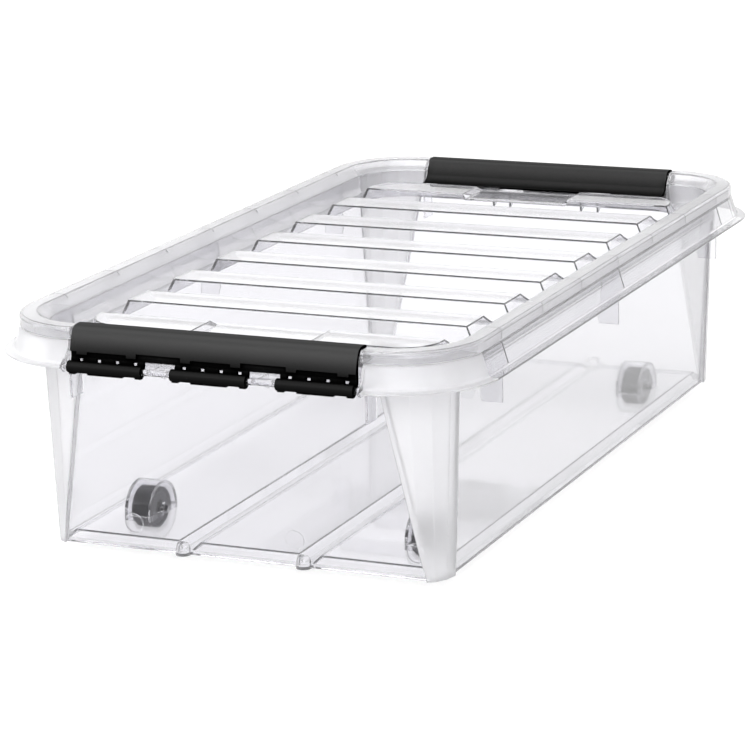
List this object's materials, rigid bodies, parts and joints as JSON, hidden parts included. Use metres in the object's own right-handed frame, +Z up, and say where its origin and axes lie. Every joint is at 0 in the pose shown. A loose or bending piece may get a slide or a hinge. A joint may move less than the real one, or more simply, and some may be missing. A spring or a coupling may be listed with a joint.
{
  "type": "under bed box",
  "caption": "Low clear plastic storage box on small wheels, with a planked lid held by hinged clip handles at both short ends.",
  "frame": {"origin": "on the floor, below the middle of the box", "axes": "+Z up; Y along the box's length; X across its width; the clips are at the two Y ends"},
  "size_m": [0.4, 0.72, 0.19],
  "materials": {
    "clear_tub": "clear glossy polypropylene",
    "clear_lid": "clear glossy polypropylene",
    "clip_black": "black satin fine-grained plastic",
    "wheel_grey": "dark grey plastic"
  },
  "bodies": {
    "tub": {"tub": "clear_tub"},
    "lid": {"lid": "clear_lid"},
    "clip_front": {"clip_front": "clip_black"},
    "clip_rear": {"clip_rear": "clip_black"},
    "wheel_front_left": {"wheel_front_left": "wheel_grey", "axle_front_left": "wheel_grey"},
    "wheel_front_right": {"wheel_front_right": "wheel_grey", "axle_front_right": "wheel_grey"},
    "wheel_rear_left": {"wheel_rear_left": "wheel_grey", "axle_rear_left": "wheel_grey"},
    "wheel_rear_right": {"wheel_rear_right": "wheel_grey", "axle_rear_right": "wheel_grey"}
  },
  "joints": [
    {"name": "lid_lift", "type": "slide", "parent": "tub", "child": "lid", "axis": [0, 0, 1], "range_m": [0, 0.25]},
    {"name": "clip_front_hinge", "type": "hinge", "parent": "tub", "child": "clip_front", "pos_m": [0, -0.3554, 0.1609], "axis": [1, 0, 0], "range_deg": [0, 110]},
    {"name": "clip_rear_hinge", "type": "hinge", "parent": "tub", "child": "clip_rear", "pos_m": [0, 0.3554, 0.1609], "axis": [-1, 0, 0], "range_deg": [0, 110]},
    {"name": "wheel_front_left_spin", "type": "hinge", "parent": "tub", "child": "wheel_front_left", "pos_m": [-0.1183, -0.232, 0.017], "axis": [1, 0, 0], "continuous": true},
    {"name": "wheel_front_right_spin", "type": "hinge", "parent": "tub", "child": "wheel_front_right", "pos_m": [0.1183, -0.232, 0.017], "axis": [1, 0, 0], "continuous": true},
    {"name": "wheel_rear_left_spin", "type": "hinge", "parent": "tub", "child": "wheel_rear_left", "pos_m": [-0.1183, 0.232, 0.017], "axis": [1, 0, 0], "continuous": true},
    {"name": "wheel_rear_right_spin", "type": "hinge", "parent": "tub", "child": "wheel_rear_right", "pos_m": [0.1183, 0.232, 0.017], "axis": [1, 0, 0], "continuous": true}
  ]
}
